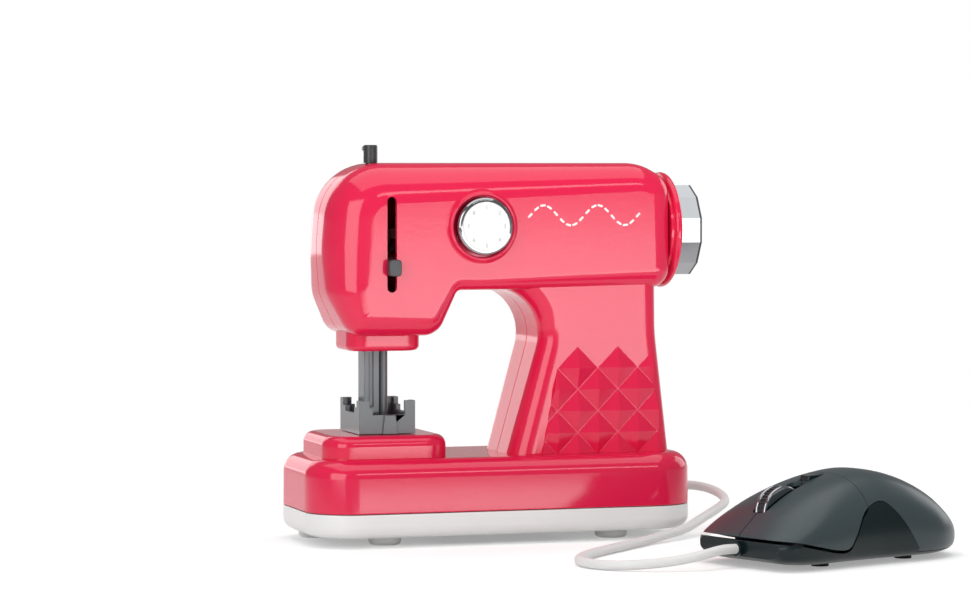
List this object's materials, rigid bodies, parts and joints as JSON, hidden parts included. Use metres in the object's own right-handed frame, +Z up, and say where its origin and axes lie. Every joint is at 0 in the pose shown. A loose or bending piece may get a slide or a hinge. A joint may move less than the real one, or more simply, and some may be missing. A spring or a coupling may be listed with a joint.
{
  "type": "toy sewing machine",
  "caption": "Toy sewing machine with a cranked needle head, hand wheel, stitch dial and a mouse-shaped hand control on a lead.",
  "frame": {"origin": "centre of the footprint of machine and hand control, on the table", "axes": "+Z up, -Y towards the front of the machine, +X along the arm from the needle to the hand wheel"},
  "size_m": [0.2465, 0.2045, 0.1678],
  "materials": {
    "pink_plastic": "high gloss",
    "white_plastic": "satin gloss",
    "grey_plastic": "gloss",
    "dark_plastic": "gloss",
    "control_upper": "high gloss",
    "control_lower": "gloss",
    "gear_plastic": "matte",
    "lead_rubber": "satin",
    "foot_rubber": "matte",
    "chrome": "polished plating",
    "steel": "zinc plated",
    "brass": "machined",
    "cell_wrap": "printed sleeve, plain",
    "board": "solder mask"
  },
  "bodies": {
    "machine": {"base_tray": "white_plastic", "base_cover": "pink_plastic", "base_feet": "white_plastic", "battery_door": "white_plastic", "door_screw": "steel", "batteries": "cell_wrap", "battery_contacts": "steel", "base_screws": "steel", "column_screws": "steel", "body_front_shell": "pink_plastic", "body_rear_shell": "pink_plastic", "body_screws": "steel", "needle_collar": "pink_plastic", "spool_pin": "dark_plastic", "arm_end_ring": "pink_plastic", "shaft_bush_left": "gear_plastic", "shaft_bush_right": "gear_plastic", "gearbox_frame": "gear_plastic", "gearbox_screws": "steel", "motor_can": "steel", "idler_pin": "steel", "cord_grommet": "lead_rubber", "cord": "lead_rubber", "mouse_base": "control_lower", "mouse_top": "control_upper", "mouse_wheel_axle": "steel", "mouse_board": "board", "mouse_switches": "dark_plastic", "mouse_screws": "steel", "mouse_feet": "foot_rubber", "mouse_gland": "control_lower"},
    "wheel_train": {"hand_wheel": "chrome", "main_shaft": "steel", "main_gear": "gear_plastic", "crank_disc": "gear_plastic", "crank_pin": "steel"},
    "needle_train": {"needle_yoke": "gear_plastic", "needle_bar": "grey_plastic", "needle_rod": "grey_plastic", "presser_foot": "grey_plastic", "thread_lever": "grey_plastic"},
    "idler": {"idler_gear": "gear_plastic"},
    "motor_rotor": {"motor_pinion": "brass", "motor_shaft": "steel"},
    "dial": {"dial_knob": "chrome", "dial_cap": "white_plastic", "dial_clip": "steel"},
    "left_button": {"mouse_left_button": "control_upper"},
    "right_button": {"mouse_right_button": "control_upper"},
    "scroll_wheel": {"mouse_scroll_wheel": "chrome"},
    "mode_button": {"mouse_mode_button": "control_upper"}
  },
  "joints": [
    {"name": "hand_wheel_turn", "type": "hinge", "parent": "machine", "child": "wheel_train", "pos_m": [0.0436, 0.0656, 0.1313], "axis": [1, 0, 0], "range_deg": [0, 180]},
    {"name": "needle_bar_slide", "type": "slide", "parent": "machine", "child": "needle_train", "axis": [0, 0, 1], "range_m": [0, 0.014]},
    {"name": "idler_turn", "type": "hinge", "parent": "machine", "child": "idler", "pos_m": [0.0181, 0.0656, 0.1131], "axis": [1, 0, 0], "continuous": true},
    {"name": "motor_turn", "type": "hinge", "parent": "machine", "child": "motor_rotor", "pos_m": [0.0151, 0.0656, 0.0949], "axis": [1, 0, 0], "continuous": true},
    {"name": "dial_turn", "type": "hinge", "parent": "machine", "child": "dial", "pos_m": [-0.0477, 0.0403, 0.1335], "axis": [0, -1, 0], "continuous": true},
    {"name": "left_button_press", "type": "hinge", "parent": "machine", "child": "left_button", "pos_m": [0.0643, -0.0622, 0.025], "axis": [0.342, -0.9397, 0], "range_deg": [0, 1.1], "stiffness_Nm_per_rad": 1},
    {"name": "right_button_press", "type": "hinge", "parent": "machine", "child": "right_button", "pos_m": [0.0643, -0.0622, 0.025], "axis": [0.342, -0.9397, 0], "range_deg": [0, 1.1], "stiffness_Nm_per_rad": 1},
    {"name": "scroll_wheel_turn", "type": "hinge", "parent": "machine", "child": "scroll_wheel", "pos_m": [0.0413, -0.07055, 0.0204], "axis": [-0.342, 0.9397, 0], "continuous": true},
    {"name": "mode_button_press", "type": "slide", "parent": "machine", "child": "mode_button", "axis": [0, 0, -1], "range_m": [0, 0.0008], "stiffness_N_per_m": 800}
  ],
  "couplings": [
    {"joint": "needle_bar_slide", "follows": "hand_wheel_turn", "m_per_rad": 0.0044563},
    {"joint": "idler_turn", "follows": "hand_wheel_turn", "ratio": -3},
    {"joint": "motor_turn", "follows": "hand_wheel_turn", "ratio": 9}
  ]
}
